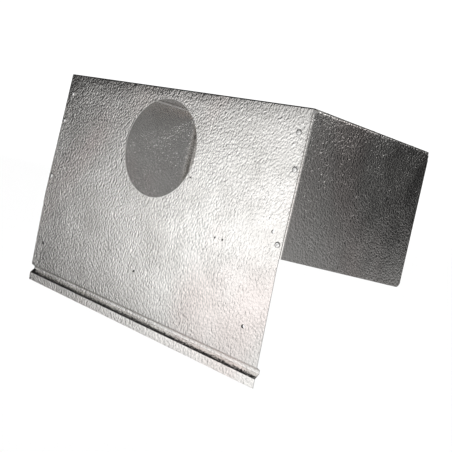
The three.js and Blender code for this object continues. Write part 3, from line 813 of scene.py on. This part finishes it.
def rounded(corners, reach):
    """Knots for a Bezier line through corners, each corner cut by a smooth bend."""
    knots = [(corners[0], corners[0], corners[0])]
    for before, here, after in zip(corners, corners[1:], corners[2:]):
        back, ahead = (before - here).normalized(), (after - here).normalized()
        enter, leave = here + back * reach, here + ahead * reach
        knots.append((enter, enter + back * reach * 0.3, enter.lerp(here, 0.55)))
        knots.append((leave, leave.lerp(here, 0.55), leave + ahead * reach * 0.3))
    knots.append((corners[-1], corners[-1], corners[-1]))
    return knots


def grommet(material):
    low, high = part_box("cable_grommet")
    flange, bore, neck = (high.x - low.x) / MM / 2, 4, 6.7
    rise, under = high.z / MM, low.z / MM
    lip, lip_end = bore + 0.8, 0.8
    edge, edge_end = flange - 1.1, 1.1
    points = [*arc(lip, rise - lip_end, lip_end, 180, 90, 6),
              *arc(edge, rise - edge_end, edge_end, 90, 0, 8),
              (flange, SEAT), (neck, SEAT), (neck, -1 - SEAT), (flange, -1 - SEAT),
              *arc(edge, under + edge_end, edge_end, 0, -90, 8),
              *arc(lip, under + lip_end, lip_end, -90, -180, 6)]
    origin = Vector((middle("cable_grommet").x, middle("cable_grommet").y, 0))
    mesh = turned("cable_grommet", in_metres(points), origin, (0, 0, 1), 56, ring=True, angle=45)
    dress(mesh, "cable_grommet", material)


# ---- studio --------------------------------------------------------------------------------------
def look_matrix(place, forward, up):
    back = -Vector(forward).normalized()
    right = Vector(up).cross(back).normalized()
    true_up = back.cross(right)
    matrix = Matrix((right, true_up, back)).transposed().to_4x4()
    matrix.translation = place
    return matrix


def camera():
    data = bpy.data.cameras.new("camera")
    data.sensor_width = 36
    data.lens = 57.85
    data.shift_x = 0.0488
    data.shift_y = -0.1593
    data.clip_end = 100
    made = bpy.data.objects.new("camera", data)
    made.matrix_world = look_matrix((0.7798, -0.9262, -0.0999), (-0.6749, 0.7378, 0.0131),
                                    (-0.1591, -0.1628, 0.9737))
    bpy.context.scene.collection.objects.link(made)
    bpy.context.scene.camera = made


def floor(z):
    """A plain white floor that reflections don't show."""
    reach = 30
    mesh = bpy.data.meshes.new("floor")
    mesh.from_pydata([(-reach, -reach, z), (reach, -reach, z), (reach, reach, z), (-reach, reach, z)],
                     [], [(0, 1, 2, 3)])
    material = bpy.data.materials.new("floor")
    material.use_nodes = True
    shader = material.node_tree.nodes["Principled BSDF"]
    shader.inputs["Base Color"].default_value = (0.93, 0.93, 0.93, 1)
    shader.inputs["Roughness"].default_value = 0.9
    shader.inputs["Specular IOR Level"].default_value = 0.1
    mesh.materials.append(material)
    made = bpy.data.objects.new("floor", mesh)
    made.visible_glossy = False
    bpy.context.scene.collection.objects.link(made)


# Soft boxes and screens round the hood, seen only as reflections. Angles are in degrees: azimuth from
# +Y towards +X, and elevation. Later ones cover earlier ones, and each fades over its edge.
TENT_GLOW = 0.42                     # between the boxes
TENT = [
    {"at": (270, 38), "half": (50, 44), "edge": 8, "glow": 0.02},      # screen high on the left
    {"at": (212, 26), "half": (50, 20), "edge": 5, "glow": 0.02},      # screen over the front
    {"at": (201, 12), "half": (17, 7), "edge": 5, "glow": 1.0},        # strip light under it
    {"at": (270, -24), "half": (44, 20), "edge": 8, "glow": 0.1},      # floor on the left
    {"at": (184, -9), "half": (43, 13), "edge": 6, "glow": 1.45},      # front soft box
    {"at": (184, -32), "half": (42, 14), "edge": 8, "glow": 1.0},      # floor in front
    {"at": (180, -70), "half": (200, 30), "edge": 12, "glow": 0.8},    # floor beneath
    {"at": (24, 14), "half": (34, 28), "edge": 6, "glow": 0.008},      # screen behind on the right
    {"at": (48, 8), "half": (15, 12), "edge": 5, "glow": 0.18},        # its lighter side
    {"at": (50, 23), "half": (20, 9), "edge": 4, "glow": 3.0},         # strip light above that
    {"at": (30, -26), "half": (34, 12), "edge": 4, "glow": 0.3},       # floor behind
    {"at": (52, -14), "half": (17, 12), "edge": 5, "glow": 0.36},      # its lighter side
    {"at": (15, -13), "half": (13, 7), "edge": 4, "glow": 0.55},       # sheen low behind
]


def tent():
    """A large shell whose inside glows with the soft boxes' pattern. Only glossy rays see it."""
    work = bmesh.new()
    bmesh.ops.create_icosphere(work, subdivisions=4, radius=20)
    bmesh.ops.reverse_faces(work, faces=work.faces)
    mesh = bpy.data.meshes.new("tent")
    work.to_mesh(mesh)
    work.free()
    t = Tree("tent")
    split = t.node("ShaderNodeSeparateXYZ", Vector=t.place())
    x, y, z = split.outputs
    azimuth = t.math("ARCTAN2", x, y)
    level = t.math("SQRT", t.math("ADD", t.math("MULTIPLY", x, x), t.math("MULTIPLY", y, y)))
    elevation = t.math("ARCTAN2", z, level)
    glow = TENT_GLOW
    for box in TENT:
        glow = soft_box(t, azimuth, elevation, glow, **box)
    t.finish(Base_Color=(0, 0, 0, 1), Roughness=1.0, Specular_IOR_Level=0.0)
    t.feed(t.shader.inputs["Emission Color"], (1, 1, 1, 1))
    t.feed(t.shader.inputs["Emission Strength"], glow)
    mesh.materials.append(t.material)
    made = bpy.data.objects.new("tent", mesh)
    made.visible_camera = made.visible_diffuse = made.visible_shadow = made.visible_transmission = False
    bpy.context.scene.collection.objects.link(made)


def soft_box(t, azimuth, elevation, behind, at, half, edge, glow):
    """Mixes one soft box into the glow behind it."""
    def mask(angle, centre, reach, wraps):
        off = t.math("SUBTRACT", angle, math.radians(centre))
        if wraps:
            off = t.math("WRAP", off, math.pi, -math.pi)
        far = t.math("ABSOLUTE", off)
        return t.spread(far, math.radians(reach - edge), math.radians(reach + edge), 1.0, 0.0)
    across = mask(azimuth, at[0], half[0], True)
    upright = mask(elevation, at[1], half[1], False)
    inside = t.math("MULTIPLY", across, upright)
    mixed = t.node("ShaderNodeMix", {"data_type": "FLOAT"})
    t.feed(mixed.inputs[0], inside)
    t.feed(mixed.inputs[2], behind)
    t.feed(mixed.inputs[3], glow)
    return mixed.outputs[0]


def studio():
    world = bpy.data.worlds.new("studio")
    world.use_nodes = True
    background = world.node_tree.nodes["Background"]
    background.inputs["Color"].default_value = (1, 1, 1, 1)
    background.inputs["Strength"].default_value = 1.1
    bpy.context.scene.world = world
    floor(HOOD_LOW.z - FLOOR_DROP)
    tent()
    bpy.context.scene.view_settings.view_transform = "Standard"


# ---- build ---------------------------------------------------------------------------------------
camera()
studio()

FRONT_METAL = embossed_metal("embossed_hood_metal", math.radians(14))
END_METAL = embossed_metal("embossed_end_metal", math.radians(75))
# The first cut material is painted shade for the walls and collars of the small holes; the second is the
# duct opening's sawn edge.
CUT = (drawn_edge_painted_shade("drawn_edge_painted_shade"), sawn_edge("sawn_edge"))
skin("hood_sheet", hood_flat, FRONT_METAL, cut=CUT)
skin("left_end_panel", end_flat, END_METAL)
skin("right_end_panel", end_flat, END_METAL, cut=CUT)

rivets(turned_metal("rivet_metal", (0.82, 0.81, 0.8, 1), (0.6, 0.6, 0.59, 1), 0.13))
SCREW_METAL = turned_metal("screw_zinc", (0.7, 0.67, 0.58, 1), (0.55, 0.5, 0.4, 1), 0.28)
screws(SCREW_METAL)
nuts(SCREW_METAL)
skin("holder_bracket", box_flat, spangled_zinc("bracket_zinc"), 0.3 * MM)

BRASS = turned_metal("tarnished_brass", (0.8, 0.6, 0.3, 1), (0.5, 0.34, 0.17, 1), 0.26)
holder_body(glazed_porcelain("porcelain"))
thread_shell(BRASS)
contact(BRASS)
lamp_cap(turned_metal("nickel_cap", (0.74, 0.71, 0.65, 1), (0.56, 0.51, 0.43, 1), 0.24))
cap_end(dark_vitrite("vitrite"), BRASS)
bulb(clear_glass("blown_glass"))
arc_tube(sintered_alumina("arc_tube_alumina"))
arc_frame(turned_metal("drawn_wire", (0.6, 0.6, 0.6, 1), (0.42, 0.41, 0.4, 1), 0.3))
grommet(moulded_rubber("moulded_rubber"))
